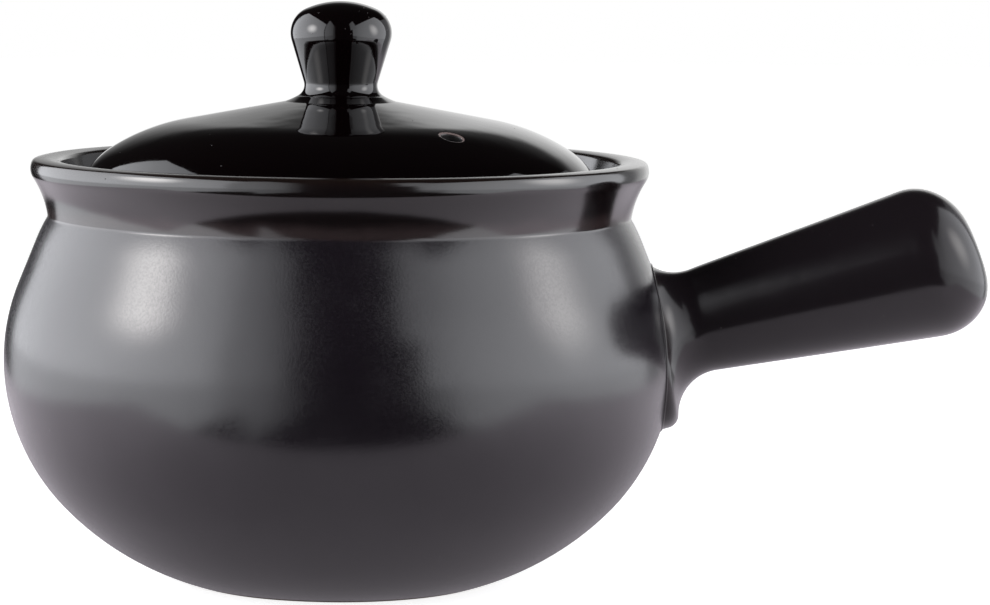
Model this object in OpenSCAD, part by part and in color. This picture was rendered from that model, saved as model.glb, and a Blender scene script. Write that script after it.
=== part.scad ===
// Clay soup pot: a round glazed pot with one hollow stub handle and a loose domed lid.
// Millimetres, +Z up. The origin is the middle of the foot, on the surface the pot stands on.
// The handle points along +X. Turned pieces are drawn as half sections, x outwards and y up.

/* [Belly] */
// Diameter of the widest ring of the belly
belly_d = 201.4; // [190:0.2:212]
// Height of the widest ring above the foot
belly_z = 67; // [62:0.5:72]
// Diameter of the flat foot
foot_d = 90; // [80:1:98]
// Radius of the side just below the widest ring
side_r = 63.5; // [60:0.5:67]
// Angle through which the side turns before the bottom curve takes over
side_turn = 45; // [40:1:50]
// Radius of the shoulder just above the widest ring
shoulder_r = 61; // [52:1:70]
// Lean of the straight upper shoulder from upright
shoulder_lean = 22; // [19:0.5:25]
// Radius of the roll at the top of the shoulder
roll_r = 53; // [40:1:70]
// Angle through which the roll turns further in
roll_turn = 8.5; // [5:0.5:12]
// Height of the crease where the shoulder meets the neck
crease_z = 109.8; // [104:0.1:118]
// Thickness of the clay wall
wall = 6; // [4.5:0.5:7]
// Thickness of the floor
floor_t = 7; // [5:0.5:10]

/* [Lip and gallery] */
// Lean of the neck from upright where it leaves the crease
neck_lean = 8; // [4:0.5:11]
// How far the lip stands out past the crease
lip_out = 5.1; // [4:0.1:7]
// Height of the lip's widest ring above the crease
lip_rise = 14.4; // [12:0.1:18]
// Radius of the lip's outer face
lip_face_r = 5; // [4.5:0.1:5.5]
// Slope of the face where its top edge starts
lip_face_turn = 21; // [10:1:35]
// Rounding of the lip's top edge
lip_round = 1.5; // [1:0.1:2.5]
// Width of the lip's top
lip_w = 9; // [7:0.5:10]
// Radius of the gentle crown on top of the lip
crown_r = 12; // [9:0.5:30]
// Rounding of the lip's inner edge
mouth_round = 1.5; // [1:0.1:2.5]
// Depth of the lid's ledge below the top of the lip
ledge_drop = 11.5; // [9:0.5:14]
// Width of the ledge
ledge_w = 7.5; // [6:0.5:9]
// Thickness of the ledge at its inner edge
ledge_t = 4; // [3:0.5:6]

/* [Lid] */
// Gap between the lid's edge and the gallery wall
lid_gap = 3.1; // [2:0.1:4.5]
// Height of the upright land at the lid's edge
lid_land = 3; // [2:0.5:5]
// Radius of the dome near its edge
lid_edge_r = 26; // [22:0.5:30]
// Slope of the dome where it leaves the land
lid_edge_slope = 66; // [60:1:74]
// Radius of the dome further in
lid_dome_r = 60; // [50:1:66]
// Slope of the dome where the two radii meet
lid_mid_slope = 33; // [29:1:37]
// Slope of the straight middle of the dome
lid_slope = 10.5; // [8:0.5:13]
// Thickness of the lid
lid_wall = 5; // [4:0.5:6]
// Depth of the flange that keeps the lid in the throat
flange_h = 8; // [5:0.5:12]
// Gap between the flange and the throat
flange_gap = 1.5; // [1:0.1:2.5]
// Diameter of the steam hole
steam_d = 6; // [4:0.5:9]
// Distance of the steam hole from the middle of the lid
steam_r = 55.5; // [46:0.5:60]
// Direction of the steam hole, turned from the handle
steam_turn = -52.5; // [-180:0.5:180]

/* [Knob] */
// Diameter of the knob's head
knob_d = 30.4; // [27:0.2:35]
// Height of the head's widest ring above the tip of the lid
knob_rise = 17.4; // [15:0.2:22]
// Rounding of the head
knob_round = 8; // [6.5:0.1:9]
// Slope at which the head's crown starts
knob_crown_slope = 24; // [18:1:32]
// Diameter of the knob's waist
waist_d = 22; // [19:0.2:24]
// Height of the waist above the tip of the lid
waist_rise = 1.8; // [1.4:0.1:2.6]
// Radius of the hollow at the waist
waist_r = 3.6; // [3.2:0.1:4.4]
// Diameter of the knob's foot
knob_foot_d = 25.6; // [24.8:0.1:27]
// Diameter over the slip wiped around the knob's foot
knob_bead_d = 41; // [36:0.5:48]

/* [Handle] */
// Height at which the handle's axis crosses the belly's widest radius
handle_z = 77.2; // [72:0.2:82]
// Upward tilt of the handle
handle_tilt = 15; // [8:0.5:20]
// Length of the handle from the belly's widest radius to its end
handle_len = 94.2; // [84:0.2:110]
// Diameter at the narrow end of the grip
grip_d = 31.6; // [28:0.2:36]
// Distance of the narrow end of the grip from the belly's widest radius
grip_start = 9.4; // [8:0.2:14]
// Diameter at the fat end of the grip
grip_end_d = 45.8; // [40:0.2:50]
// Rounding of the handle's end
end_round = 16; // [12:0.5:18]
// Radius of the flare at the root
flare_r = 13.5; // [11:0.5:16]
// Diameter of the flare's lip against the belly
flare_d = 58.2; // [52:0.2:62]
// Rounding of the flare's lip
flare_round = 4; // [2:0.1:5]
// Thickness of the hollow handle's wall
handle_wall = 6; // [4.5:0.5:7]
// Diameter of the firing vent under the handle
vent_d = 3; // [2:0.5:4]
// Distance of the firing vent from the belly's widest radius
vent_at = 18; // [14:1:30]

/* [Slip] */
// Thickness of the slip between luted pieces
slip_t = 0.6; // [0.4:0.1:1]
// How far the slip stands out around the handle's root
slip_bead = 1; // [0.5:0.1:1.6]

/* [Hidden] */
$fn = 128;
// Longest step along a drawn curve, in degrees
arc_step = 6;
// Number of steps along the lid's hollow
hollow_steps = 24;
glaze_black = "#1b1718";
satin_charcoal = "#3b383a";
slip_brown = "#2c211d";

// Belly: centres of the side, bottom and shoulder curves
belly_r = belly_d / 2;
foot_r = foot_d / 2;
side_c = [belly_r - side_r, belly_z];
shoulder_c = [belly_r - shoulder_r, belly_z];
turn_in = [-cos(side_turn), sin(side_turn)];
turn_at = side_c - side_r * turn_in;
to_foot = [foot_r, 0] - turn_at;
bottom_r = (to_foot * to_foot) / (2 * to_foot * turn_in);
bottom_c = turn_at + bottom_r * turn_in;

// Roll: the curve from the straight shoulder to the crease
crease_lean = shoulder_lean + roll_turn;
roll_z = crease_z - roll_r * (sin(crease_lean) - sin(shoulder_lean));
roll_c = [shoulder_line(roll_z, 0), roll_z] - roll_r * [cos(shoulder_lean), sin(shoulder_lean)];

// Neck and lip: the neck's hollow is the curve that runs smoothly into the lip's face
neck_r = on_circle(roll_c, roll_r, crease_lean).x;
lip_r = neck_r + lip_out;
face_c = [lip_r - lip_face_r, crease_z + lip_rise];
to_face = face_c - [neck_r, crease_z];
hollow_r = (to_face * to_face - pow(lip_face_r, 2))
    / (2 * (lip_face_r + to_face * [cos(neck_lean), -sin(neck_lean)]));
hollow_c = [neck_r, crease_z] + hollow_r * [cos(neck_lean), -sin(neck_lean)];
edge_c = on_circle(face_c, lip_face_r - lip_round, lip_face_turn);
mouth_r = lip_r - lip_w;
crown_x = (mouth_r + lip_r) / 2;
crown_c = [crown_x, edge_c.y - leg(crown_r - lip_round, edge_c.x - crown_x)];
mouth_c = [mouth_r + mouth_round,
           crown_c.y + leg(crown_r - mouth_round, crown_x - mouth_r - mouth_round)];
rim_z = crown_c.y + crown_r;

// Gallery: the ledge that carries the lid, and the throat inside it
ledge_z = rim_z - ledge_drop;
gallery_r = neck_r - wall;
throat_r = gallery_r - ledge_w;
ledge_under = ledge_z - ledge_t;
// Where the slope under the ledge meets the inside of the shoulder
under_z = (throat_r + ledge_under - shoulder_line(0, wall)) / (1 - tan(shoulder_lean));

// Lid: centres of its two dome curves, worked inwards from the edge
lid_r = gallery_r - lid_gap;
flange_r = throat_r - flange_gap;
flange_in = flange_r - lid_wall;
flange_z = ledge_z - flange_h;
lid_edge_c = [lid_r, ledge_z + lid_land] - lid_edge_r * [sin(lid_edge_slope), cos(lid_edge_slope)];
lid_dome_c = lid_edge_c - (lid_dome_r - lid_edge_r) * [sin(lid_mid_slope), cos(lid_mid_slope)];
lid_tip = dome_height(0, 0);

// Knob: its head, waist and foot, measured from the tip of the lid
head_c = [knob_d / 2 - knob_round, lid_tip + knob_rise];
waist_c = [waist_d / 2 + waist_r, lid_tip + waist_rise];
// Direction across the straight line that runs smoothly from the head to the waist
neck_turn = heading(head_c, waist_c) + acos((knob_round + waist_r) / norm(waist_c - head_c));
head_crown_r = (head_c.x + knob_round * sin(knob_crown_slope)) / sin(knob_crown_slope);
head_crown_c = [0, head_c.y + (knob_round - head_crown_r) * cos(knob_crown_slope)];
knob_foot_r = knob_foot_d / 2;
knob_foot_z = waist_c.y - leg(waist_r, waist_c.x - knob_foot_r);
knob_bead_r = knob_bead_d / 2;

// Handle: its section is drawn along its own axis, from the belly's widest radius
grip_r = grip_d / 2;
end_at = handle_len - end_round;
grip_taper = atan((grip_end_d / 2 - grip_r) / (end_at - grip_start));
end_c = [grip_end_d / 2 - end_round / cos(grip_taper), end_at];
flare_c = [grip_r, grip_start] + flare_r * [cos(grip_taper), -sin(grip_taper)];
flare_lip_x = flare_d / 2 - flare_round;
flare_lip_c = [flare_lip_x, flare_c.y - leg(flare_r + flare_round, flare_c.x - flare_lip_x)];
flare_turn = heading(flare_lip_c, flare_c);
// Depth at which the handle's section starts, well inside the belly
root = flare_lip_c.y - grip_r;

// Other leg of a right triangle
function leg(long_side, side) = sqrt(pow(long_side, 2) - pow(side, 2));

// Direction from one point to another, in degrees
function heading(from, to) = atan2(to.y - from.y, to.x - from.x);

// Point on a circle
function on_circle(centre, radius, angle) = centre + radius * [cos(angle), sin(angle)];

// Points along an arc after its first one, which the line before it ends on
function arc(centre, radius, from, to) =
    let (steps = max(2, ceil(abs(to - from) / arc_step)))
    [for (i = [1 : steps]) on_circle(centre, radius, from + (to - from) * i / steps)];

// Radius of the straight upper shoulder at a height, moved inwards by an inset
function shoulder_line(z, inset) =
    shoulder_c.x + (shoulder_r - inset) / cos(shoulder_lean) - (z - belly_z) * tan(shoulder_lean);

// Angle at which the bottom curve, moved inwards by an inset, reaches a height
function bottom_angle(z, inset) = asin((z - bottom_c.y) / (bottom_r - inset));

// Outline of the belly from the foot to the crease, moved outwards by a growth
function belly_outline(grow) = concat(
    [on_circle(bottom_c, bottom_r + grow, bottom_angle(0, -grow))],
    arc(bottom_c, bottom_r + grow, bottom_angle(0, -grow), -side_turn),
    arc(side_c, side_r + grow, -side_turn, 0),
    arc(shoulder_c, shoulder_r + grow, 0, shoulder_lean),
    [on_circle(roll_c, roll_r + grow, shoulder_lean)],
    arc(roll_c, roll_r + grow, shoulder_lean, crease_lean)
);

// Outline of a layer of slip spread on the belly: up its outside and back down the clay
function slip_outline() =
    let (clay = belly_outline(0))
    concat(
        belly_outline(slip_t),
        [for (i = [len(clay) - 1 : -1 : 0]) clay[i]]
    );

// Outline of the neck and lip from the crease up and over to the mouth
function lip_outline() =
    let (
        face_turn = heading(hollow_c, face_c),
        crown_turn = heading(crown_c, edge_c),
        mouth_turn = heading(crown_c, mouth_c)
    )
    concat(
        arc(hollow_c, hollow_r, 180 - neck_lean, face_turn),
        arc(face_c, lip_face_r, face_turn - 180, lip_face_turn),
        arc(edge_c, lip_round, lip_face_turn, crown_turn),
        arc(crown_c, crown_r, crown_turn, mouth_turn),
        arc(mouth_c, mouth_round, mouth_turn, 180)
    );

// Outline of the inside from the ledge down to the floor
function cavity_outline() = concat(
    [
        [gallery_r, ledge_z],
        [throat_r, ledge_z],
        [throat_r, ledge_under],
        [shoulder_line(under_z, wall), under_z],
        on_circle(shoulder_c, shoulder_r - wall, shoulder_lean)
    ],
    arc(shoulder_c, shoulder_r - wall, shoulder_lean, 0),
    arc(side_c, side_r - wall, 0, -side_turn),
    arc(bottom_c, bottom_r - wall, -side_turn, bottom_angle(floor_t, wall)),
    [[0, floor_t]]
);

// Height of the lid's dome at a radius, moved inwards by an inset
function dome_height(r, inset) =
    r < lid_dome_c.x + (lid_dome_r - inset) * sin(lid_slope)
        ? lid_dome_c.y + (lid_dome_r - inset) / cos(lid_slope) - (r - lid_dome_c.x) * tan(lid_slope)
    : r < lid_edge_c.x + (lid_edge_r - inset) * sin(lid_mid_slope)
        ? lid_dome_c.y + leg(lid_dome_r - inset, r - lid_dome_c.x)
        : lid_edge_c.y + leg(lid_edge_r - inset, r - lid_edge_c.x);

// Outline of the lid's top from its seat up to the tip
function lid_outline() = concat(
    [[lid_r, ledge_z], [lid_r, ledge_z + lid_land]],
    arc(lid_edge_c, lid_edge_r, 90 - lid_edge_slope, 90 - lid_mid_slope),
    arc(lid_dome_c, lid_dome_r, 90 - lid_mid_slope, 90 - lid_slope),
    [[0, lid_tip]]
);

// Outline of the lid's hollow from the tip down to the flange
function lid_hollow_outline() =
    [for (i = [0 : hollow_steps])
        let (r = flange_in * i / hollow_steps)
        [r, dome_height(r, lid_wall)]];

// Outline of the handle's flared root, up to the narrow end of the grip
function root_outline() = concat(
    [[flare_d / 2, root], [flare_d / 2, flare_lip_c.y]],
    arc(flare_lip_c, flare_round, 0, flare_turn),
    arc(flare_c, flare_r, flare_turn - 180, -180 - grip_taper)
);

// Outline of the grip's round end
function end_outline() = concat(
    [on_circle(end_c, end_round, -grip_taper)],
    arc(end_c, end_round, -grip_taper, 90),
    [[0, handle_len]]
);

// Radius of the handle's hollow at a distance along its axis
function bore_line(u) = grip_r - handle_wall / cos(grip_taper) + (u - grip_start) * tan(grip_taper);

// Outline of the closed end of the handle's hollow
function bore_outline() = concat(
    [[0, handle_len - handle_wall], [end_c.x, handle_len - handle_wall]],
    arc(end_c, end_round - handle_wall, 90, -grip_taper)
);

// Solid turned from an outline and its closing points
module turned(outline) {
    rotate_extrude()
        polygon(outline);
}

// The belly, solid up to the crease and moved outwards by a growth
module solid_belly(grow) {
    turned(concat([[0, 0]], belly_outline(grow), [[0, crease_z]]));
}

// Carries what is drawn about the upright axis onto the handle's axis
module on_handle() {
    translate([belly_r, 0, handle_z])
        rotate([0, 90 - handle_tilt, 0])
            children();
}

module pot_body() {
    color(satin_charcoal)
        turned(concat([[0, 0]], belly_outline(0), lip_outline(), cavity_outline()));
}

module handle() {
    color(glaze_black)
        difference() {
            on_handle()
                turned(concat(
                    root_outline(),
                    end_outline(),
                    bore_outline(),
                    [[bore_line(root), root]]
                ));
            solid_belly(slip_t);
            on_handle()
                translate([0, 0, vent_at])
                    rotate([0, 90, 0])
                        cylinder(d = vent_d, h = grip_end_d);
        }
}

module handle_slip() {
    color(slip_brown)
        intersection() {
            on_handle()
                turned(concat(
                    [for (p = root_outline()) p + [slip_bead, 0]],
                    [[bore_line(grip_start), grip_start], [bore_line(root), root]]
                ));
            turned(slip_outline());
        }
}

module lid() {
    color(glaze_black)
        difference() {
            turned(concat(
                [[flange_in, flange_z], [flange_r, flange_z], [flange_r, ledge_z]],
                lid_outline(),
                lid_hollow_outline()
            ));
            rotate([0, 0, steam_turn])
                translate([steam_r, 0, ledge_z])
                    cylinder(d = steam_d, h = lid_tip - ledge_z);
        }
}

module knob() {
    waist_foot = 180 + heading([knob_foot_r, knob_foot_z], waist_c);
    color(glaze_black)
        turned(concat(
            [
                [0, lid_tip + slip_t],
                [knob_foot_r, dome_height(knob_foot_r, 0) + slip_t],
                [knob_foot_r, knob_foot_z]
            ],
            arc(waist_c, waist_r, waist_foot, 180 + neck_turn),
            [on_circle(head_c, knob_round, neck_turn)],
            arc(head_c, knob_round, neck_turn, 90 - knob_crown_slope),
            arc(head_crown_c, head_crown_r, 90 - knob_crown_slope, 90)
        ));
}

module knob_slip() {
    color(slip_brown)
        turned([
            [0, lid_tip],
            [knob_bead_r, dome_height(knob_bead_r, 0)],
            [knob_foot_r, knob_foot_z],
            [knob_foot_r, dome_height(knob_foot_r, 0) + slip_t],
            [0, lid_tip + slip_t]
        ]);
}

pot_body();
handle();
handle_slip();
lid();
knob();
knob_slip();
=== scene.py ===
"""Looks of a glazed clay soup pot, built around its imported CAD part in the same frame, in metres.

The pot, lid and knob are turned outlines, the handle is a swept skin trimmed to the belly, and small glaze
specks are scattered over them. Heights are above the foot, and the handle points along +X.
"""

from __future__ import annotations

import logging
import math
from dataclasses import dataclass, field
from enum import Enum
from typing import Optional, Union

import bmesh
import bpy
import numpy as np
from bmesh.types import BMFace, BMVert, BMesh
from bpy.types import ID, Light, Material, Mesh, NodeSocket, NodeTree, Object
from mathutils import Euler, Matrix, Vector
from mathutils.bvhtree import BVHTree


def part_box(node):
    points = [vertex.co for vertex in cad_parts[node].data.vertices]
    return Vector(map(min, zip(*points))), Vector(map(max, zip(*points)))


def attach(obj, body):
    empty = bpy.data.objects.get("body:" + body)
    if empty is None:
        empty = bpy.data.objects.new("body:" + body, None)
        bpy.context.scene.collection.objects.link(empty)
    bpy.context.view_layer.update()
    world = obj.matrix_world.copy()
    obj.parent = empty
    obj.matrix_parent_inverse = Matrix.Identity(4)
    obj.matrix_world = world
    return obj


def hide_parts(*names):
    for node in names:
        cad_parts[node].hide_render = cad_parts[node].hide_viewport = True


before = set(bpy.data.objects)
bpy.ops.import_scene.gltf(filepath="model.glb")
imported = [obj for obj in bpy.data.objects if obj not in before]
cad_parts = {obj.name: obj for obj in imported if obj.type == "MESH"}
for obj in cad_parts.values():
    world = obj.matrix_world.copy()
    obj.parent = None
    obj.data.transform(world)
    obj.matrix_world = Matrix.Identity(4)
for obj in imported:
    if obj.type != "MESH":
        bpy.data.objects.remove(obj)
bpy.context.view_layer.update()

LOG = logging.getLogger("soup_pot")
MM = 0.001

Point = tuple[float, float]
Span = tuple[float, float]
Colour = tuple[float, float, float]
Link = Union["Wire", float, int, bool, str, tuple, list, ID]


class Body(Enum):
    """The CAD bodies that pieces ride on."""

    POT = "pot"
    LID = "lid"


class Slot(Enum):
    """The record's material slots."""

    SATIN = "satin_glaze"
    HANDLE = "handle_glaze"
    LID = "lid_glaze"
    SLIP = "slip"


class Side(Enum):
    """Which side of the pot a panel stands on, seen from the camera."""

    LEFT = -1
    RIGHT = 1


# Node trees


class Wire:
    """An output socket that can be added, multiplied and so on, each of which adds a Math node."""

    def __init__(self, bench: Bench, socket: NodeSocket) -> None:
        """Keep the socket and the bench whose tree it belongs to."""
        self.bench = bench
        self.socket = socket

    def _math(self, operation: str, first: Link, second: Link) -> Wire:
        """Add one Math node."""
        return self.bench.node("ShaderNodeMath", {"operation": operation}, {0: first, 1: second})

    def __add__(self, other: Link) -> Wire:
        """This value plus another."""
        return self._math("ADD", self, other)

    def __radd__(self, other: Link) -> Wire:
        """Another value plus this one."""
        return self._math("ADD", other, self)

    def __sub__(self, other: Link) -> Wire:
        """This value less another."""
        return self._math("SUBTRACT", self, other)

    def __rsub__(self, other: Link) -> Wire:
        """Another value less this one."""
        return self._math("SUBTRACT", other, self)

    def __mul__(self, other: Link) -> Wire:
        """This value times another."""
        return self._math("MULTIPLY", self, other)

    def __rmul__(self, other: Link) -> Wire:
        """Another value times this one."""
        return self._math("MULTIPLY", other, self)

    def __rtruediv__(self, other: Link) -> Wire:
        """Another value divided by this one."""
        return self._math("DIVIDE", other, self)

    def __pow__(self, other: Link) -> Wire:
        """This value to a power."""
        return self._math("POWER", self, other)

    def least(self, other: Link) -> Wire:
        """The smaller of this value and another."""
        return self._math("MINIMUM", self, other)

    def most(self, other: Link) -> Wire:
        """The larger of this value and another."""
        return self._math("MAXIMUM", self, other)


class Bench:
    """A node tree under construction."""

    def __init__(self, tree: NodeTree) -> None:
        """Start on an empty tree."""
        self.tree = tree
        self.tree.nodes.clear()

    @classmethod
    def material(cls, name: str) -> tuple[Material, Bench]:
        """Start a material, and hand it back with its bench."""
        made = bpy.data.materials.new(name)
        made.use_nodes = True
        return made, cls(made.node_tree)

    @classmethod
    def geometry(cls, name: str, inputs: dict[str, str]) -> tuple[Bench, list[Wire]]:
        """Start a geometry tree that hands out one shape.

        Args:
            name: The tree's name.
            inputs: The kind of each input, without the word NodeSocket, by its name.

        Returns:
            The tree's bench, and a wire from each input.
        """
        bench = cls(bpy.data.node_groups.new(name, "GeometryNodeTree"))
        for label, kind in inputs.items():
            bench.tree.interface.new_socket(label, in_out="INPUT", socket_type="NodeSocket" + kind)
        bench.tree.interface.new_socket("Shape", in_out="OUTPUT", socket_type="NodeSocketGeometry")
        return bench, [bench.node("NodeGroupInput", out=label) for label in inputs]

    def node(self, kind: str, settings: Optional[dict[str, object]] = None,
             sockets: Optional[dict[Union[str, int], Link]] = None, out: Union[str, int] = 0) -> Wire:
        """Add a node.

        Args:
            kind: The node's type name.
            settings: Its properties, set before its sockets.
            sockets: Values or links by socket name or number.
            out: Name or number of the output that is handed back.

        Returns:
            The chosen output, or a wire to nothing if the node has none.
        """
        made = self.tree.nodes.new(kind)
        for name, value in (settings or {}).items():
            setattr(made, name, value)
        for key, value in (sockets or {}).items():
            socket = made.inputs[key]
            if isinstance(value, Wire):
                self.tree.links.new(value.socket, socket)
            else:
                socket.default_value = value
        return Wire(self, made.outputs[out] if len(made.outputs) else None)

    def place(self, kind: str = "Object") -> Wire:
        """Coordinates of one of the Texture Coordinate node's kinds."""
        return self.node("ShaderNodeTexCoord", out=kind)

    def axis(self, vector: Wire, name: str) -> Wire:
        """One coordinate of a vector: X, Y or Z."""
        return self.node("ShaderNodeSeparateXYZ", {}, {"Vector": vector}, name)

    def attribute(self, name: str) -> Wire:
        """A number stored for each point of a piece, 0 where the piece has none of that name."""
        return self.node("ShaderNodeAttribute", {"attribute_name": name}, out="Fac")

    def ray(self, kind: str) -> Wire:
        """1 for rays of a kind, such as Camera or Glossy, and 0 for all others."""
        return self.node("ShaderNodeLightPath", out=f"Is {kind} Ray")

    def fade(self, value: Link, low: float, high: float) -> Wire:
        """A smooth step from 0 at low to 1 at high, which lies below low for a falling step."""
        return self.node("ShaderNodeMapRange", {"interpolation_type": "SMOOTHSTEP"},
                         {"Value": value, "From Min": low, "From Max": high})

    def mix(self, share: Link, first: Link, second: Link) -> Wire:
        """A colour between two colours or links to colours, the first one where the share is 0."""
        ends = [(*end, 1.0) if isinstance(end, tuple) else end for end in (first, second)]
        return self.node("ShaderNodeMix", {"data_type": "RGBA"}, {0: share, 6: ends[0], 7: ends[1]}, out=2)

    @staticmethod
    def blend(share: Link, first: Link, second: Link) -> Wire:
        """A number between two others, the first one where the share is 0."""
        return first + (second - first) * share

    def noise(self, place: Wire, size: Link, detail: float, shift: Link) -> Wire:
        """Noise around 0.5: clouds of a size, with layers of finer detail and a shift as their seed."""
        return self.node("ShaderNodeTexNoise", {"noise_dimensions": "4D"},
                         {"Vector": place, "W": shift, "Scale": 1.0 / size, "Detail": detail})

    def bump(self, height: Wire, distance: float) -> Wire:
        """The normal of a surface with a relief, which is as high as a distance where its height is 1."""
        return self.node("ShaderNodeBump", {}, {"Strength": 1.0, "Distance": distance, "Height": height})

    def surface(self, colour: Wire, roughness: Wire, ior: float, **others: Wire) -> None:
        """End a material with its colour, roughness, index of refraction and links to other sockets."""
        shader = self.node("ShaderNodeBsdfPrincipled", {}, {
            "Base Color": colour, "Roughness": roughness, "IOR": ior, **others})
        self.node("ShaderNodeOutputMaterial", {}, {"Surface": shader})

    def shape(self, shape: Wire, glaze: Wire) -> NodeTree:
        """End a geometry tree with a smooth shape in a glaze, and hand the tree back."""
        shape = self.node("GeometryNodeRealizeInstances", {}, {"Geometry": shape})
        shape = self.node("GeometryNodeSetShadeSmooth", {}, {"Geometry": shape, "Shade Smooth": True})
        shape = self.node("GeometryNodeSetMaterial", {}, {"Geometry": shape, "Material": glaze})
        self.node("NodeGroupOutput", {}, {"Shape": shape})
        return self.tree


# Finishes


@dataclass(frozen=True)
class GlossGlaze:
    """Mirror-like black glaze, a little brown where it runs thin over edges."""

    deep: Colour = (0.0016, 0.0005, 0.0007)
    thin: Colour = (0.016, 0.009, 0.007)
    rim_highlight: Colour = (0.24, 0.185, 0.175)
    cover: float = 0.4
    roughness: float = 0.045
    roughness_spread: float = 0.05
    rim_roughness: float = 0.35
    hollow_roughness: float = 0.9
    dull_from: float = 0.45
    dull_to: float = 0.75
    cloud_share: float = 0.6
    cloud_size: float = 18 * MM
    fine_size: float = 0.6 * MM
    ripple: float = 0.06 * MM
    ripple_size: float = 9 * MM
    ior: float = 1.58
    seed: float = 0.0

    def material(self, name: str) -> Material:
        """Make the material.

        Args:
            name: The material's name.

        Returns:
            The material. A piece may have the attributes "thin", for glaze run thin over an edge, one for a
            pale ring painted on a hole's rolled edge as a painted highlight, and "hollow", for the dull
            inside of a drilled hole.
        """
        made, bench = Bench.material(name)
        place = bench.place()
        thin = bench.attribute("thin")
        rim_highlight = bench.attribute("rim_highlight")
        cloud = bench.noise(place, self.cloud_size, detail=4.0, shift=self.seed)
        fine = bench.noise(place, self.fine_size, detail=2.0, shift=self.seed + 1)
        wave = bench.noise(place, self.ripple_size, detail=1.0, shift=self.seed + 2)
        colour = bench.mix((thin * (self.cover + cloud)).least(1.0), self.deep, self.thin)
        # A pale ring painted on a hole's rolled edge as a highlight, rougher than the glaze
        colour = bench.mix((rim_highlight * (self.cover + fine)).least(1.0), colour, self.rim_highlight)
        dull = bench.fade(bench.blend(self.cloud_share, fine, cloud), self.dull_from, self.dull_to)
        roughness = bench.blend(rim_highlight, self.roughness + self.roughness_spread * dull, self.rim_roughness)
        roughness = bench.blend(bench.attribute("hollow"), roughness, self.hollow_roughness)
        bench.surface(colour, roughness, self.ior, Normal=bench.bump(wave, self.ripple))
        return made


@dataclass(frozen=True)
class PotGlaze:
    """Satin charcoal glaze on the belly, glossier from the crease up and inside, bare clay under the foot,
    and a painted reflection as a paler band just above the crease.
    """

    crease_z: float
    foot_z: float = 1.2 * MM
    foot_bare_z: float = 0.2 * MM
    foot_waver: float = 0.8 * MM
    satin: Colour = (0.0062, 0.0040, 0.0066)
    satin_pale: Colour = (0.0085, 0.0060, 0.0088)
    gloss: Colour = (0.0040, 0.0022, 0.0024)
    thin: Colour = (0.014, 0.008, 0.006)
    painted_reflection: Colour = (0.024, 0.016, 0.016)
    clay: Colour = (0.20, 0.135, 0.095)
    pale_from: float = 0.35
    pale_to: float = 0.7
    cover: float = 0.4
    satin_roughness: float = 0.225
    satin_spread: float = 0.06
    gloss_roughness: float = 0.14
    clay_roughness: float = 0.88
    speckle_from: float = 0.38
    speckle_to: float = 0.62
    speckle_mottle: float = 0.4
    grain: float = 0.02 * MM
    grain_size: float = 0.7 * MM
    gloss_smoothing: float = 0.85
    lump_height: float = 2.0
    lump_size: float = 9 * MM
    mottle_size: float = 14 * MM
    gloss_below: float = 0.6 * MM
    gloss_above: float = 0.9 * MM
    gloss_waver: float = 1.5 * MM
    reflection_low: float = 1.5 * MM
    reflection_high: float = 6 * MM
    reflection_waver: float = 4.5 * MM
    ior: float = 1.78

    def material(self, name: str) -> Material:
        """Make the material.

        Args:
            name: The material's name.

        Returns:
            The material, for a piece with the attributes "thin" and "inside".
        """
        made, bench = Bench.material(name)
        place = bench.place()
        height = bench.axis(place, "Z")
        above = height - self.crease_z
        inside = bench.attribute("inside")
        mottle = bench.noise(place, self.mottle_size, detail=5.0, shift=3.0)
        grain = bench.noise(place, self.grain_size, detail=2.0, shift=5.0)
        lumps = bench.noise(place, self.lump_size, detail=1.0, shift=8.0)
        uneven = mottle - 0.5
        # The gloss starts on a slightly uneven line along the crease, where the pot was dipped
        glossy = bench.fade(above + uneven * self.gloss_waver, -self.gloss_below, self.gloss_above)
        glossy = glossy.most(inside)
        bare = bench.fade(height + (grain - 0.5) * self.foot_waver, self.foot_z, self.foot_bare_z)
        satin = bench.mix(bench.fade(mottle, self.pale_from, self.pale_to), self.satin, self.satin_pale)
        thin = (bench.attribute("thin") * (self.cover + mottle)).least(1.0)
        # Painted reflection of the shoulder: a paler, browner band on the neck just above the crease, fading
        # out a few millimetres up, not on the inside
        reflected = bench.fade(above + uneven * self.reflection_waver, self.reflection_high, self.reflection_low) * (1.0 - inside)
        gloss = bench.mix(reflected, bench.mix(thin, self.gloss, self.thin), self.painted_reflection)
        colour = bench.mix(bare, bench.mix(glossy, satin, gloss), self.clay)
        speckle = bench.fade(grain + uneven * self.speckle_mottle, self.speckle_from, self.speckle_to)
        roughness = self.satin_roughness + self.satin_spread * (speckle - 0.5)
        roughness = bench.blend(glossy, roughness, self.gloss_roughness)
        roughness = bench.blend(bare, roughness, self.clay_roughness)
        relief = grain * (1.0 - self.gloss_smoothing * glossy) + self.lump_height * lumps
        bench.surface(colour, roughness, self.ior, Normal=bench.bump(relief, self.grain))
        return made


@dataclass(frozen=True)
class SpeckGlaze:
    """Small pale specks where dust or a burst bubble broke the glaze."""

    dark: Colour = (0.01, 0.008, 0.008)
    colour: Colour = (0.045, 0.040, 0.040)
    roughness: float = 0.22
    spread: float = 0.25
    cloud_size: float = 5 * MM
    ior: float = 1.58
    seed: float = 11.0

    def material(self, name: str) -> Material:
        """Make the material under a name, and hand it back."""
        made, bench = Bench.material(name)
        cloud = bench.noise(bench.place(), self.cloud_size, detail=2.0, shift=self.seed)
        colour = bench.mix(cloud, self.dark, self.colour)
        bench.surface(colour, self.roughness + self.spread * cloud, self.ior)
        return made


# Outlines: half sections, x outwards and y up


def leg(long_side: float, side: float) -> float:
    """The other leg of a right triangle."""
    return math.sqrt(long_side ** 2 - side ** 2)


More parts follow.
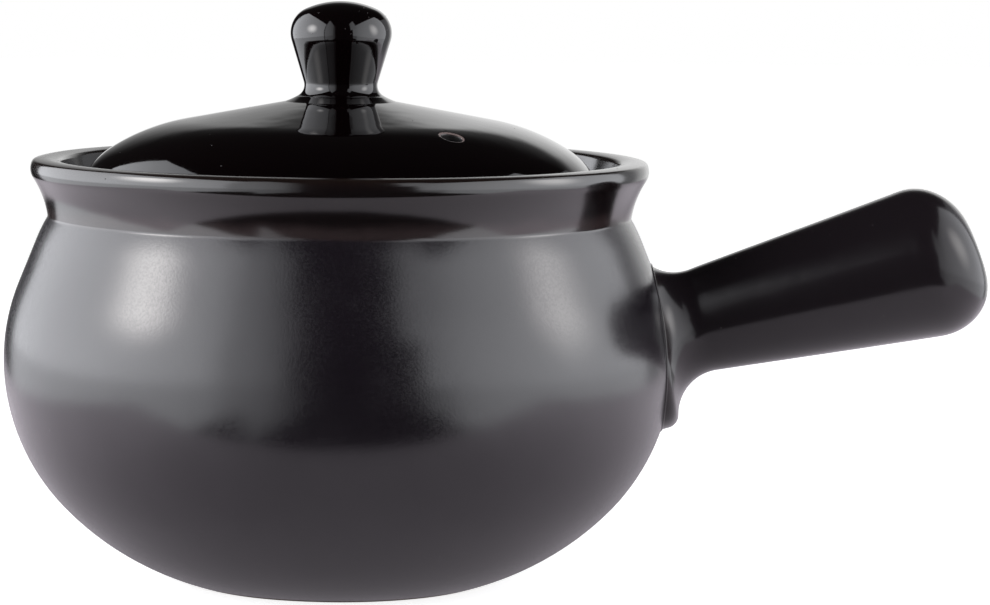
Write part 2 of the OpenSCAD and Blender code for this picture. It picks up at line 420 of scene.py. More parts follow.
def heading(start: Point, end: Point) -> float:
    """Direction from one point to another, in degrees."""
    return math.degrees(math.atan2(end[1] - start[1], end[0] - start[0]))


def on_circle(centre: Point, radius: float, angle: float) -> Point:
    """The point of a circle at an angle in degrees."""
    turn = math.radians(angle)
    return centre[0] + radius * math.cos(turn), centre[1] + radius * math.sin(turn)


def arc(centre: Point, radius: float, start: float, stop: float, step: float = 2.5) -> list[Point]:
    """Points along an arc, both ends included.

    Args:
        centre: Centre of the arc.
        radius: Its radius.
        start: First angle, in degrees.
        stop: Last angle, in degrees.
        step: Longest step, in degrees.

    Returns:
        The points.
    """
    count = max(2, math.ceil(abs(stop - start) / step))
    return [on_circle(centre, radius, start + (stop - start) * i / count) for i in range(count + 1)]


def rounded(before: Point, corner: Point, after: Point, radius: float) -> list[Point]:
    """The arc that rounds one corner of an outline.

    Args:
        before: A point on the straight line into the corner.
        corner: The sharp corner.
        after: A point on the straight line out of it.
        radius: Radius of the rounding.

    Returns:
        Points along the rounding.
    """
    spot = Vector(corner)
    inward = (Vector(before) - spot).normalized()
    outward = (Vector(after) - spot).normalized()
    half = inward.angle(outward) / 2
    middle = (inward + outward).normalized() * (radius / math.sin(half)) + spot
    first = spot + inward * (radius / math.tan(half))
    last = spot + outward * (radius / math.tan(half))
    start = heading(tuple(middle), tuple(first))
    turn = (heading(tuple(middle), tuple(last)) - start + 180) % 360 - 180
    return arc(tuple(middle), radius, start, start + turn, step=15)


def softened(line: list[Point], radii: tuple[float, ...]) -> list[Point]:
    """Round the corners of a line of straight pieces.

    Args:
        line: The corners, with a point before the first of them and one after the last.
        radii: Radius of the rounding at each corner.

    Returns:
        Points along the roundings.
    """
    made = []
    for before, corner, after, radius in zip(line, line[1:], line[2:], radii):
        made += rounded(before, corner, after, radius)
    return made


def eased(share: Union[float, np.ndarray]) -> Union[float, np.ndarray]:
    """A share held between 0 and 1, with a smooth start and end."""
    held = np.clip(share, 0, 1)
    return held * held * (3 - 2 * held)


def without_doubles(points: list[Point], least: float = 0.02 * MM) -> list[Point]:
    """Leave out points that lie on the one before.

    Args:
        points: The outline.
        least: Least distance between two points.

    Returns:
        The points that are kept.
    """
    kept = points[:1]
    for point in points[1:]:
        if math.dist(point, kept[-1]) > least:
            kept.append(point)
    return kept


def filled_in(points: list[Point], longest: float) -> list[Point]:
    """Add points wherever two are far apart.

    Args:
        points: The outline.
        longest: Longest distance between two points.

    Returns:
        The outline with the points added, in straight lines.
    """
    made = points[:1]
    for point in points[1:]:
        start = made[-1]
        count = max(1, math.ceil(math.dist(start, point) / longest))
        for i in range(1, count + 1):
            share = i / count
            made.append((start[0] + (point[0] - start[0]) * share, start[1] + (point[1] - start[1]) * share))
    return made


# Geometry trees

RAIL_R = 1 * MM
RAIL_WELD = 0.005 * MM
SAME_POINT = 0.002 * MM
SHARP_FOLD = 50.0
# Shares of a speck's length, and how strongly small specks outnumber large ones
SPECK_WIDTH = 0.8
SPECK_HEIGHT = 0.3
SPECK_POWER = 3.0


def wheel_tree() -> NodeTree:
    """The tree that turns an outline about the upright axis, as a potter's wheel does."""
    bench, (outline, segments, unevenness, wave, seed, glaze) = Bench.geometry("wheel", {
        "Outline": "Geometry", "Segments": "Int", "Unevenness": "Float", "Wave size": "Float",
        "Seed": "Float", "Glaze": "Material"})
    profile = bench.node("GeometryNodeMeshToCurve", {}, {"Mesh": outline})
    rail = bench.node("GeometryNodeCurvePrimitiveCircle", {"mode": "RADIUS"},
                      {"Resolution": segments, "Radius": RAIL_R})
    rail = bench.node("GeometryNodeSetCurveNormal", {"mode": "Z_UP"}, {"Curve": rail})
    clay = bench.node("GeometryNodeCurveToMesh", {}, {"Curve": rail, "Profile Curve": profile})
    clay = bench.node("GeometryNodeMergeByDistance", {}, {"Geometry": clay, "Distance": RAIL_WELD})
    place = bench.node("GeometryNodeInputPosition")
    normal = bench.node("GeometryNodeInputNormal")
    lumps = bench.noise(place, wave, detail=1.0, shift=seed) - 0.5
    push = bench.node("ShaderNodeVectorMath", {"operation": "SCALE"},
                      {"Vector": normal, "Scale": lumps * 2.0 * unevenness})
    clay = bench.node("GeometryNodeSetPosition", {}, {"Geometry": clay, "Offset": push})
    return bench.shape(clay, glaze)


def bead_tree() -> NodeTree:
    """The tree that lays a round bead of slip along a path."""
    bench, (path, radius, sides, glaze) = Bench.geometry("slip_bead", {
        "Path": "Geometry", "Radius": "Float", "Sides": "Int", "Glaze": "Material"})
    line = bench.node("GeometryNodeMeshToCurve", {}, {"Mesh": path})
    ring = bench.node("GeometryNodeCurvePrimitiveCircle", {"mode": "RADIUS"},
                      {"Resolution": sides, "Radius": radius})
    bead = bench.node("GeometryNodeCurveToMesh", {}, {"Curve": line, "Profile Curve": ring})
    return bench.shape(bead, glaze)


def speck_tree() -> NodeTree:
    """The tree that scatters flat specks over the outside of a skin, most of them small."""
    bench, (skin, density, seed, small, large, lowest, highest, glaze) = Bench.geometry("glaze_specks", {
        "Skin": "Geometry", "Specks per square metre": "Float", "Seed": "Int", "Smallest": "Float",
        "Largest": "Float", "Lowest": "Float", "Highest": "Float", "Glaze": "Material"})
    height = bench.axis(bench.node("GeometryNodeInputPosition"), "Z")
    inside = bench.node("GeometryNodeInputNamedAttribute", {"data_type": "FLOAT"}, {"Name": "inside"})
    chosen = bench.node("FunctionNodeCompare", {"operation": "GREATER_THAN"}, {"A": height, "B": lowest})
    for value, limit in ((height, highest), (inside, 0.5)):
        below = bench.node("FunctionNodeCompare", {"operation": "LESS_THAN"}, {"A": value, "B": limit})
        chosen = bench.node("FunctionNodeBooleanMath", {"operation": "AND"}, {0: chosen, 1: below})
    scatter = bench.node("GeometryNodeDistributePointsOnFaces", {"distribute_method": "RANDOM"}, {
        "Mesh": skin, "Selection": chosen, "Density": density, "Seed": seed})
    turn = Wire(bench, scatter.socket.node.outputs["Rotation"])
    dot = bench.node("GeometryNodeMeshIcoSphere", {}, {"Radius": 1.0, "Subdivisions": 1})
    chance = bench.node("FunctionNodeRandomValue", {"data_type": "FLOAT"}, {"Seed": seed}, out=1)
    size = bench.blend(chance ** SPECK_POWER, small, large)
    flat = bench.node("ShaderNodeCombineXYZ", {}, {
        "X": size, "Y": size * SPECK_WIDTH, "Z": size * SPECK_HEIGHT})
    specks = bench.node("GeometryNodeInstanceOnPoints", {}, {
        "Points": scatter, "Instance": dot, "Rotation": turn, "Scale": flat})
    return bench.shape(specks, glaze)


def linked(name: str, data: ID) -> Object:
    """A new object for a mesh, lamp or camera, linked to the scene."""
    made = bpy.data.objects.new(name, data)
    bpy.context.scene.collection.objects.link(made)
    return made


def grown(name: str, source: Mesh, tree: NodeTree, inputs: dict[str, Link]) -> Object:
    """Run a geometry tree on a mesh and keep the result as a plain mesh object.

    Args:
        name: Name of the new object.
        source: The mesh that the tree starts from.
        tree: The tree.
        inputs: The tree's other inputs by name.

    Returns:
        The new object, linked to the scene, with no modifier.
    """
    seedbed = linked(name + "_source", source)
    modifier = seedbed.modifiers.new("tree", "NODES")
    modifier.node_group = tree
    for item in tree.interface.items_tree:
        if item.in_out == "INPUT" and item.name in inputs:
            modifier[item.identifier] = inputs[item.name]
    evaluated = seedbed.evaluated_get(bpy.context.evaluated_depsgraph_get())
    mesh = bpy.data.meshes.new_from_object(evaluated)
    mesh.name = name
    bpy.data.objects.remove(seedbed)
    return linked(name, mesh)


def line_mesh(name: str, points: np.ndarray, closed: bool) -> Mesh:
    """A mesh of edges along a line of points.

    Args:
        name: Name of the mesh.
        points: The points, one row each.
        closed: Whether the last point joins the first.

    Returns:
        The mesh.
    """
    mesh = bpy.data.meshes.new(name)
    edges = [(i, i + 1) for i in range(len(points) - 1)]
    if closed:
        edges.append((len(points) - 1, 0))
    mesh.from_pydata([tuple(p) for p in points], edges, [])
    return mesh


def outward(made: Object) -> None:
    """Merge doubled points of a closed mesh and point its faces outwards."""
    work = bmesh.new()
    work.from_mesh(made.data)
    bmesh.ops.remove_doubles(work, verts=work.verts, dist=SAME_POINT)
    bmesh.ops.recalc_face_normals(work, faces=work.faces)
    work.to_mesh(made.data)
    work.free()
    finish_shading(made)


def finish_shading(made: Object) -> None:
    """Shade a mesh smooth, apart from its sharp folds."""
    made.data.shade_smooth()
    made.data.set_sharp_from_angle(angle=math.radians(SHARP_FOLD))


def give_attribute(made: Object, name: str, values: Union[np.ndarray, float]) -> None:
    """Store one number for each point of a mesh, or one for all, under a name that materials read."""
    attribute = made.data.attributes.new(name, "FLOAT", "POINT")
    every = np.broadcast_to(values, len(made.data.vertices))
    attribute.data.foreach_set("value", every.astype(np.float32))


def points_of(made: Object) -> np.ndarray:
    """The points of a mesh, one row each."""
    flat = np.zeros(len(made.data.vertices) * 3, np.float32)
    made.data.vertices.foreach_get("co", flat)
    return flat.reshape(-1, 3).astype(float)


def from_axis(at: np.ndarray) -> np.ndarray:
    """Distances of points from the upright axis."""
    return np.hypot(at[:, 0], at[:, 1])


def nearness(distance: np.ndarray, width: float) -> np.ndarray:
    """1 at a distance of 0, about a third at a width, and next to nothing at twice that width."""
    return np.exp(-(distance / width) ** 2)


@dataclass(frozen=True)
class Specks:
    """The specks on one piece: how many lie on a square metre, their radii and their finish."""

    density: float
    smallest: float
    largest: float
    seed: int
    finish: SpeckGlaze = SpeckGlaze()


@dataclass
class Wheel:
    """Turns outlines into pieces, and lays beads and specks."""

    segments: int = 256
    wave: float = 45 * MM
    bead_sides: int = 12
    turning: NodeTree = field(default_factory=wheel_tree)
    beading: NodeTree = field(default_factory=bead_tree)
    speckling: NodeTree = field(default_factory=speck_tree)

    def turn(self, name: str, outline: list[Point], glaze: Material, seed: float,
             unevenness: float) -> Object:
        """Turn an outline that starts and ends on the axis.

        Args:
            name: Name of the piece.
            outline: Its half section.
            glaze: Its material.
            seed: Seed of its unevenness.
            unevenness: Height of the lumps in the clay.

        Returns:
            The piece.
        """
        # The rail is a small ring that hangs sections upside down, which the section drawn here allows for
        section = np.array([(x - RAIL_R, -y, 0.0) for x, y in outline])
        made = grown(name, line_mesh(name, section, False), self.turning, {
            "Segments": self.segments, "Unevenness": unevenness, "Wave size": self.wave, "Seed": seed,
            "Glaze": glaze})
        outward(made)
        return made

    def bead(self, name: str, path: np.ndarray, radius: float, glaze: Material) -> Object:
        """Lay a bead along a closed path.

        Args:
            name: Name of the piece.
            path: Points of the path.
            radius: Radius of the bead.
            glaze: Its material.

        Returns:
            The piece.
        """
        made = grown(name, line_mesh(name, path, True), self.beading,
                     {"Radius": radius, "Sides": self.bead_sides, "Glaze": glaze})
        outward(made)
        return made

    def scatter(self, owner: str, skin: Object, specks: Specks, lowest: float, highest: float) -> Object:
        """Scatter specks over a piece.

        Args:
            owner: Word for what they lie on, which their name starts with.
            skin: The piece they lie on, with an "inside" attribute.
            specks: Their number, sizes and finish.
            lowest: Height that they start above.
            highest: Height that they end below.

        Returns:
            The specks as one piece.
        """
        return grown(owner + "_specks", skin.data.copy(), self.speckling, {
            "Specks per square metre": specks.density, "Seed": specks.seed, "Smallest": specks.smallest,
            "Largest": specks.largest, "Lowest": lowest, "Highest": highest,
            "Glaze": specks.finish.material(owner + "_speck")})


# Holes


@dataclass
class Hole:
    """A round hole with a rolled edge, drilled along its own axis into a closed piece."""

    centre: Vector
    direction: Vector
    radius: float
    edge_round: float
    reach: float
    through: bool
    blind_depth: float = 5 * MM
    margin: float = 2.5 * MM
    apron: float = 1.2
    collar: float = 0.6 * MM
    points: int = 64
    rolls: int = 6

    def drill(self, piece: Object) -> None:
        """Cut the hole into a piece.

        Args:
            piece: A closed mesh object.
        """
        onto = self.direction.to_track_quat("-Z", "Y").to_matrix().to_4x4()
        onto.translation = self.centre
        work = bmesh.new()
        work.from_mesh(piece.data)
        work.transform(onto.inverted())
        work.normal_update()
        skin = BVHTree.FromBMesh(work)
        window = self.radius + self.edge_round + self.margin
        chosen = [f for f in work.faces if self._near(f.calc_center_median(), window)]
        rims = []
        while chosen:
            patch = self._patch(chosen)
            chosen = [f for f in chosen if f not in patch]
            rims.append(self._rim(work, skin, patch))
        if self.through:
            self._strip(work, rims[0], rims[1])
        else:
            work.faces.new(rims[0])
        bmesh.ops.recalc_face_normals(work, faces=work.faces)
        work.transform(onto)
        work.to_mesh(piece.data)
        work.free()
        finish_shading(piece)

    def _near(self, spot: Vector, window: float) -> bool:
        """Whether a point lies in the window around the hole, within its reach along the axis."""
        return spot.xy.length < window and abs(spot.z) < self.reach

    @staticmethod
    def _patch(faces: list[BMFace]) -> set[BMFace]:
        """Pick the connected patch that the first of some faces belongs to.

        Args:
            faces: The faces, in the mesh's own order, so that each run picks the same patch.

        Returns:
            The patch.
        """
        allowed = set(faces)
        patch = {faces[0]}
        waiting = [faces[0]]
        while waiting:
            face = waiting.pop()
            for other in (o for edge in face.edges for o in edge.link_faces):
                if other in allowed and other not in patch:
                    patch.add(other)
                    waiting.append(other)
        return patch

    def _rim(self, work: BMesh, skin: BVHTree, patch: set[BMFace]) -> list[BMVert]:
        """Replace one patch of skin with a rolled edge that turns into the hole.

        Args:
            work: The mesh, in the hole's own frame.
            skin: The skin before it was cut.
            patch: The faces to replace.

        Returns:
            The last ring, a little way down the hole.
        """
        facing = 1.0 if sum(f.normal.z for f in patch) > 0 else -1.0
        edges = {edge for face in patch for edge in face.edges}
        outer = [edge for edge in edges if sum(face in patch for face in edge.link_faces) == 1]
        border = {vert for edge in outer for vert in edge.verts}
        bmesh.ops.delete(work, geom=list(patch), context="FACES")
        spread = self.radius + self.edge_round
        rings = [self._ring(work, skin, facing, spread * self.apron, 0.0)]
        for i in range(self.rolls + 1):
            turn = math.radians(90 * i / self.rolls)
            rings.append(self._ring(work, skin, facing, spread - self.edge_round * math.sin(turn),
                                    self.edge_round * (1 - math.cos(turn))))
        depth = self.edge_round + self.collar if self.through else self.blind_depth
        rings.append(self._ring(work, skin, facing, self.radius, depth))
        self._zip(work, sorted(border, key=self._angle), rings[0])
        for upper, lower in zip(rings, rings[1:]):
            self._strip(work, upper, lower)
        return rings[-1]

    def _ring(self, work: BMesh, skin: BVHTree, facing: float, radius: float,
              depth: float) -> list[BMVert]:
        """A ring of points at a radius, a depth below the skin.

        Args:
            work: The mesh.
            skin: The skin before it was cut.
            facing: 1 for the skin that faces up the axis, -1 for the one that faces down.
            radius: Radius of the ring.
            depth: Depth below the skin.

        Returns:
            The ring.
        """
        made = []
        for i in range(self.points):
            x, y = on_circle((0.0, 0.0), radius, 360 * (i + 0.5) / self.points - 180)
            hit = skin.ray_cast(Vector((x, y, facing * self.reach)), Vector((0, 0, -facing)))[0]
            made.append(work.verts.new((x, y, hit.z - facing * depth)))
        return made

    @staticmethod
    def _angle(vert: BMVert) -> float:
        """Direction of a point from the hole's axis."""
        return math.atan2(vert.co.y, vert.co.x)

    def _zip(self, work: BMesh, outer: list[BMVert],
             inner: list[BMVert]) -> None:
        """Join two loops with triangles.

        Args:
            work: The mesh.
            outer: The outer loop, sorted by direction.
            inner: The inner loop, sorted by direction.
        """
        i = j = 0
        full = 2 * math.pi
        while i < len(outer) or j < len(inner):
            after_outer = self._angle(outer[(i + 1) % len(outer)]) + full * ((i + 1) // len(outer))
            after_inner = self._angle(inner[(j + 1) % len(inner)]) + full * ((j + 1) // len(inner))
            first, second = outer[i % len(outer)], inner[j % len(inner)]
            if j >= len(inner) or (i < len(outer) and after_outer < after_inner):
                i += 1
                work.faces.new((first, outer[i % len(outer)], second))
            else:
                j += 1
                work.faces.new((first, inner[j % len(inner)], second))

    @staticmethod
    def _strip(work: BMesh, first: list[BMVert],
               second: list[BMVert]) -> None:
        """Join two rings with faces.

        Args:
            work: The mesh.
            first: One ring.
            second: The other, with as many points.
        """
        count = len(first)
        for i in range(count):
            after = (i + 1) % count
            work.faces.new((first[i], first[after], second[after], second[i]))


# Pieces


def ride(piece: Object, body: Body, slot: Slot, *nodes: str) -> None:
    """Hand a finished piece to the frame.

    Args:
        piece: The piece.
        body: The body it moves with.
        slot: The record's slot that its finish comes from; not used.
        nodes: CAD nodes it stands for.
    """
    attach(piece, body.value)
    if nodes:
        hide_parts(*nodes)
    LOG.info("%s rides on %s with %d faces", piece.name, body.value, len(piece.data.polygons))


@dataclass
class PotBody:
    """The bowl: foot, belly, shoulder, creased neck, lip, gallery and cavity."""

    belly_r: float
    rim_z: float
    belly_z: float = 67 * MM
    foot_r: float = 45 * MM
    foot_round: float = 1.6 * MM
    side_r: float = 63.5 * MM
    side_turn: float = 45.0
    shoulder_r: float = 61 * MM
    shoulder_lean: float = 22.0
    roll_r: float = 53 * MM
    roll_turn: float = 8.5
    crease_z: float = 109.8 * MM
    crease_round: float = 1.2 * MM
    wall: float = 6 * MM
    floor_t: float = 7 * MM
    neck_lean: float = 8.0
    lip_out: float = 5.1 * MM
    lip_rise: float = 14.4 * MM
    lip_face_r: float = 5 * MM
    lip_face_turn: float = 21.0
    lip_round: float = 1.5 * MM
    lip_w: float = 9 * MM
    crown_r: float = 12 * MM
    mouth_round: float = 1.5 * MM
    ledge_drop: float = 11.5 * MM
    ledge_w: float = 7.5 * MM
    ledge_t: float = 4 * MM
    inner_rounds: tuple[float, ...] = (1.2 * MM, 0.8 * MM, 1.0 * MM, 2.0 * MM)
    foot_aim: int = 4
    longest_step: float = 3 * MM
    unevenness: float = 0.12 * MM
    thin_in: float = 2 * MM
    thin_down: float = 1 * MM
    thin_width: float = 1.6 * MM
    mouth_slack: float = 1 * MM
    skin_depth: float = 3 * MM
    lowest_speck: float = 12 * MM
    specks: Specks = Specks(900.0, 0.10 * MM, 0.34 * MM, 4)
    seed: float = 1.0

    def shoulder_line(self, z: float, inset: float = 0.0) -> float:
        """Radius of the straight upper shoulder at a height, moved inwards by an inset."""
        lean = math.radians(self.shoulder_lean)
        return (self.belly_r - self.shoulder_r + (self.shoulder_r - inset) / math.cos(lean)
                - (z - self.belly_z) * math.tan(lean))

    def roll_outline(self) -> list[Point]:
        """The roll from the straight shoulder in to the crease."""
        crease_lean = self.shoulder_lean + self.roll_turn
        rise = math.sin(math.radians(crease_lean)) - math.sin(math.radians(self.shoulder_lean))
        start_z = self.crease_z - self.roll_r * rise
        start = (self.shoulder_line(start_z), start_z)
        centre = on_circle(start, -self.roll_r, self.shoulder_lean)
        return arc(centre, self.roll_r, self.shoulder_lean, crease_lean, step=1)

    @property
    def neck_r(self) -> float:
        """Radius at the crease."""
        return self.roll_outline()[-1][0]

    @property
    def gallery_r(self) -> float:
        """Radius of the wall around the lid's ledge."""
        return self.neck_r - self.wall

    @property
    def throat_r(self) -> float:
        """Radius of the way into the pot."""
        return self.gallery_r - self.ledge_w

    @property
    def ledge_z(self) -> float:
        """Height of the ledge that carries the lid."""
        return self.rim_z - self.ledge_drop

    def belly_outline(self, inset: float, lowest: float) -> list[Point]:
        """Draw the belly up to the straight shoulder.

        Args:
            inset: How far it is moved inwards.
            lowest: Height that it starts from.

        Returns:
            The points.
        """
        side_c = (self.belly_r - self.side_r, self.belly_z)
        turn_at = on_circle(side_c, self.side_r, -self.side_turn)
        inward = on_circle((0.0, 0.0), 1.0, 180 - self.side_turn)
        to_foot = (self.foot_r - turn_at[0], -turn_at[1])
        reach = to_foot[0] ** 2 + to_foot[1] ** 2
        bottom_r = reach / (2 * (to_foot[0] * inward[0] + to_foot[1] * inward[1]))
        bottom_c = (turn_at[0] + bottom_r * inward[0], turn_at[1] + bottom_r * inward[1])
        start = math.degrees(math.asin((lowest - bottom_c[1]) / (bottom_r - inset)))
        shoulder_c = (self.belly_r - self.shoulder_r, self.belly_z)
        return (arc(bottom_c, bottom_r - inset, start, -self.side_turn, step=1.5)
                + arc(side_c, self.side_r - inset, -self.side_turn, 0)
                + arc(shoulder_c, self.shoulder_r - inset, 0, self.shoulder_lean))

    def lip_outline(self) -> list[Point]:
        """The neck and lip from the crease up and over to the mouth."""
        crease = Vector((self.neck_r, self.crease_z))
        lip_r = self.neck_r + self.lip_out
        face_c = (lip_r - self.lip_face_r, self.crease_z + self.lip_rise)
        to_face = Vector(face_c) - crease
        inward = Vector(on_circle((0.0, 0.0), 1.0, -self.neck_lean))
        hollow_r = to_face.length_squared - self.lip_face_r ** 2
        hollow_r = hollow_r / (2 * (self.lip_face_r + to_face.dot(inward)))
        hollow_c = tuple(crease + hollow_r * inward)
        edge_c = on_circle(face_c, self.lip_face_r - self.lip_round, self.lip_face_turn)
        mouth_r = lip_r - self.lip_w
        crown_x = (mouth_r + lip_r) / 2
        crown_c = (crown_x, edge_c[1] - leg(self.crown_r - self.lip_round, edge_c[0] - crown_x))
        mouth_c = (mouth_r + self.mouth_round,
                   crown_c[1] + leg(self.crown_r - self.mouth_round, crown_x - mouth_r - self.mouth_round))
        face_turn = heading(hollow_c, face_c)
        crown_turn = heading(crown_c, edge_c)
        mouth_turn = heading(crown_c, mouth_c)
        return (arc(hollow_c, hollow_r, 180 - self.neck_lean, face_turn, step=1.5)
                + arc(face_c, self.lip_face_r, face_turn - 180, self.lip_face_turn, step=6)
                + arc(edge_c, self.lip_round, self.lip_face_turn, crown_turn, step=8)
                + arc(crown_c, self.crown_r, crown_turn, mouth_turn, step=4)
                + arc(mouth_c, self.mouth_round, mouth_turn, 180, step=10))

    def outline(self) -> list[Point]:
        """The whole half section, from the middle of the foot over the lip to the middle of the floor."""
        outside = self.belly_outline(0.0, 0.0) + self.roll_outline()
        lip = self.lip_outline()
        # The foot's edge is rounded towards a point a few steps up the belly
        foot = rounded((0.0, 0.0), (self.foot_r, 0.0), outside[self.foot_aim], self.foot_round)
        crease = rounded(outside[-2], (self.neck_r, self.crease_z), lip[1], self.crease_round)
        under_z = self.ledge_z - self.ledge_t
        lean = math.tan(math.radians(self.shoulder_lean))
        slope_z = (self.throat_r + under_z - self.shoulder_line(0.0, self.wall)) / (1 - lean)
        slope = (self.shoulder_line(slope_z, self.wall), slope_z)
        inside = self.belly_outline(self.wall, self.floor_t)[::-1]
        gallery = (self.gallery_r, self.ledge_z)
        step = (self.throat_r, self.ledge_z)
        under = (self.throat_r, under_z)
        points = ([(0.0, 0.0)] + foot + [p for p in outside if foot[-1][1] < p[1] < crease[0][1]] + crease
                  + [p for p in lip if p[1] > crease[-1][1]]
                  + softened([lip[-1], gallery, step, under, slope, inside[0]], self.inner_rounds)
                  + inside + [(0.0, self.floor_t)])
        return filled_in(without_doubles(points), self.longest_step)

    def belly_radius(self, z: np.ndarray) -> np.ndarray:
        """Outer radius of the belly at heights below the crease."""
        points = np.array(self.belly_outline(0.0, 0.0) + self.roll_outline())
        return np.interp(z, points[:, 1], points[:, 0])

    def build(self, wheel: Wheel) -> None:
        """Turn the bowl, mark its thin and inner glaze, and scatter specks over its outside.

        Args:
            wheel: The wheel that turns it.
        """
        glaze = PotGlaze(self.crease_z).material("satin_glaze")
        skin = wheel.turn("pot_bowl", self.outline(), glaze, self.seed, self.unevenness)
        # The uneven clay stops at the surface that the foot was ground flat on
        for vertex in skin.data.vertices:
            vertex.co.z = max(vertex.co.z, 0.0)
        at = points_of(skin)
        radius = from_axis(at)
        height = at[:, 2]
        lip_r = self.neck_r + self.lip_out
        mouth_r = lip_r - self.lip_w
        from_top = height - (self.rim_z - self.thin_down)
        edge = np.hypot(radius - (lip_r - self.thin_in), from_top)
        mouth = np.hypot(radius - mouth_r, from_top)
        give_attribute(skin, "thin", nearness(np.minimum(edge, mouth), self.thin_width))
        outer_r = np.where(height < self.crease_z, self.belly_radius(height), mouth_r + self.mouth_slack)
        give_attribute(skin, "inside", (radius < outer_r - self.skin_depth) & (height > self.skin_depth))
        specks = wheel.scatter("pot", skin, self.specks, self.lowest_speck, self.rim_z)
        ride(skin, Body.POT, Slot.SATIN, "pot_body")
        ride(specks, Body.POT, Slot.SATIN)


@dataclass
class Handle:
    """The hollow stub handle, flared where it is luted to the belly, and the bead of slip around it."""

    pot: PotBody
    end_x: float
    axis_z: float = 77.2 * MM
    tilt: float = 15.0
    length: float = 94.2 * MM
    grip_r: float = 15.8 * MM
    grip_start: float = 9.4 * MM
    end_r: float = 22.9 * MM
    end_round: float = 16 * MM
    flare_r: float = 13.5 * MM
    brim_r: float = 29.1 * MM
    brim_top_r: float = 23.5 * MM
    brim_from: float = 80.0
    brim_over: float = 75.0
    brim_round: float = 4 * MM
    top_cut: float = 0.2 * MM
    top_cut_ahead: float = 4 * MM
    top_cut_over: float = 16 * MM
    end_lean: float = -0.1
    sink: float = 0.25 * MM
    bead_r: float = 0.6 * MM
    vent_r: float = 1.5 * MM
    vent_at: float = 18 * MM
    vent_round: float = 0.5 * MM
    vent_reach: float = 8 * MM
    meridians: int = 160
    grip_rings: int = 70
    root_rings: int = 44
    cap_rings: int = 5
    cap_tries: int = 30
    grip_step: float = 1.2 * MM
    flare_step: float = 0.8 * MM
    root_thin: float = 0.3
    bead_thin: float = 0.12
    thin_width: float = 1.4 * MM
    skin_depth: float = 0.1 * MM
    finish: GlossGlaze = GlossGlaze(deep=(0.0105, 0.0078, 0.0095), roughness=0.16, ior=1.5, seed=20.0)
    specks: Specks = Specks(4000.0, 0.08 * MM, 0.34 * MM, 7)

    def brim_at(self, angle: float) -> float:
        """Radius of the flare's brim in a direction from the axis, 0 for up; widest at the bottom."""
        from_top = math.degrees(abs(math.remainder(angle, 2 * math.pi)))
        share = eased((from_top - self.brim_from) / self.brim_over)
        return self.brim_top_r + (self.brim_r - self.brim_top_r) * share

    def outline(self, brim_r: float) -> tuple[np.ndarray, int]:
        """The half section, distance along the axis against radius.

        Args:
            brim_r: Radius of the flare's brim.

        Returns:
            The points from the middle of the end to deep inside the belly, and the number of the first
            point of the flare.
        """
        end_at = self.length - self.end_round
        taper = math.degrees(math.atan((self.end_r - self.grip_r) / (end_at - self.grip_start)))
        slant = math.cos(math.radians(taper))
        end_c = (self.end_r - self.end_round / slant, end_at)
        flare_c = (self.grip_r + self.flare_r * slant,
                   self.grip_start - self.flare_r * math.sin(math.radians(taper)))
        brim_x = brim_r - self.brim_round
        brim_c = (brim_x, flare_c[1] - leg(self.flare_r + self.brim_round, flare_c[0] - brim_x))
        brim_turn = heading(brim_c, flare_c)
        end = [(0.0, self.length)] + arc(end_c, self.end_round, 90, -taper, step=3)
        grip = end + [on_circle(flare_c, self.flare_r, 180 - taper)]
        grip = filled_in(grip, self.grip_step)
        flare = (arc(flare_c, self.flare_r, 180 - taper, 180 + brim_turn, step=3)
                 + arc(brim_c, self.brim_round, brim_turn, 0, step=5)
                 + [(brim_r, brim_c[1] - 2 * brim_r)])
        flare = filled_in(without_doubles(flare), self.flare_step)
        return np.array(grip + flare), len(grip)

    def toward(self, turn: float) -> np.ndarray:
        """A direction in the handle's upright plane, turned up by an angle from its axis."""
        level, up = on_circle((0.0, 0.0), 1.0, self.tilt + turn)
        return np.array((level, 0.0, up))

    def to_frame(self, along: np.ndarray, up: np.ndarray, across: np.ndarray) -> np.ndarray:
        """Turn places on the handle into points in the object's frame.

        Args:
            along: Distances along the handle's axis.
            up: Distances above it.
            across: Distances to the side of it.

        Returns:
            The points.
        """
        start = np.array((self.pot.belly_r, 0.0, self.axis_z))
        beside = np.array((0.0, 1.0, 0.0))
        return (start + np.multiply.outer(along, self.toward(0)) + np.multiply.outer(up, self.toward(90))
                + np.multiply.outer(across, beside))

    def squat(self, along: np.ndarray) -> np.ndarray:
        """Half of how far the flare's top is lowered, at distances along the axis; its bottom stays."""
        return self.top_cut * eased((self.grip_start + self.top_cut_ahead - along) / self.top_cut_over)

    def meridian(self, angle: float) -> np.ndarray:
        """One line of points down the handle's skin.

        Args:
            angle: Direction from the axis, 0 for up.

        Returns:
            The points in the object's frame, cut where they dip into the belly.
        """
        outline, first = self.outline(self.brim_at(angle))
        radius, along = outline[:, 0], outline[:, 1]
        cut = self.squat(along)
        up = (radius - cut) * math.cos(angle) - cut
        share = np.clip((along - self.length / 2) / (self.length / 2), 0, 1)
        line = self.to_frame(along + self.end_lean * up * share ** 2, up, radius * math.sin(angle))
        return self.trimmed(line, first)

    def depth(self, at: np.ndarray) -> np.ndarray:
        """How far points lie outside the belly, in radius."""
        return from_axis(at) - self.pot.belly_radius(at[:, 2])

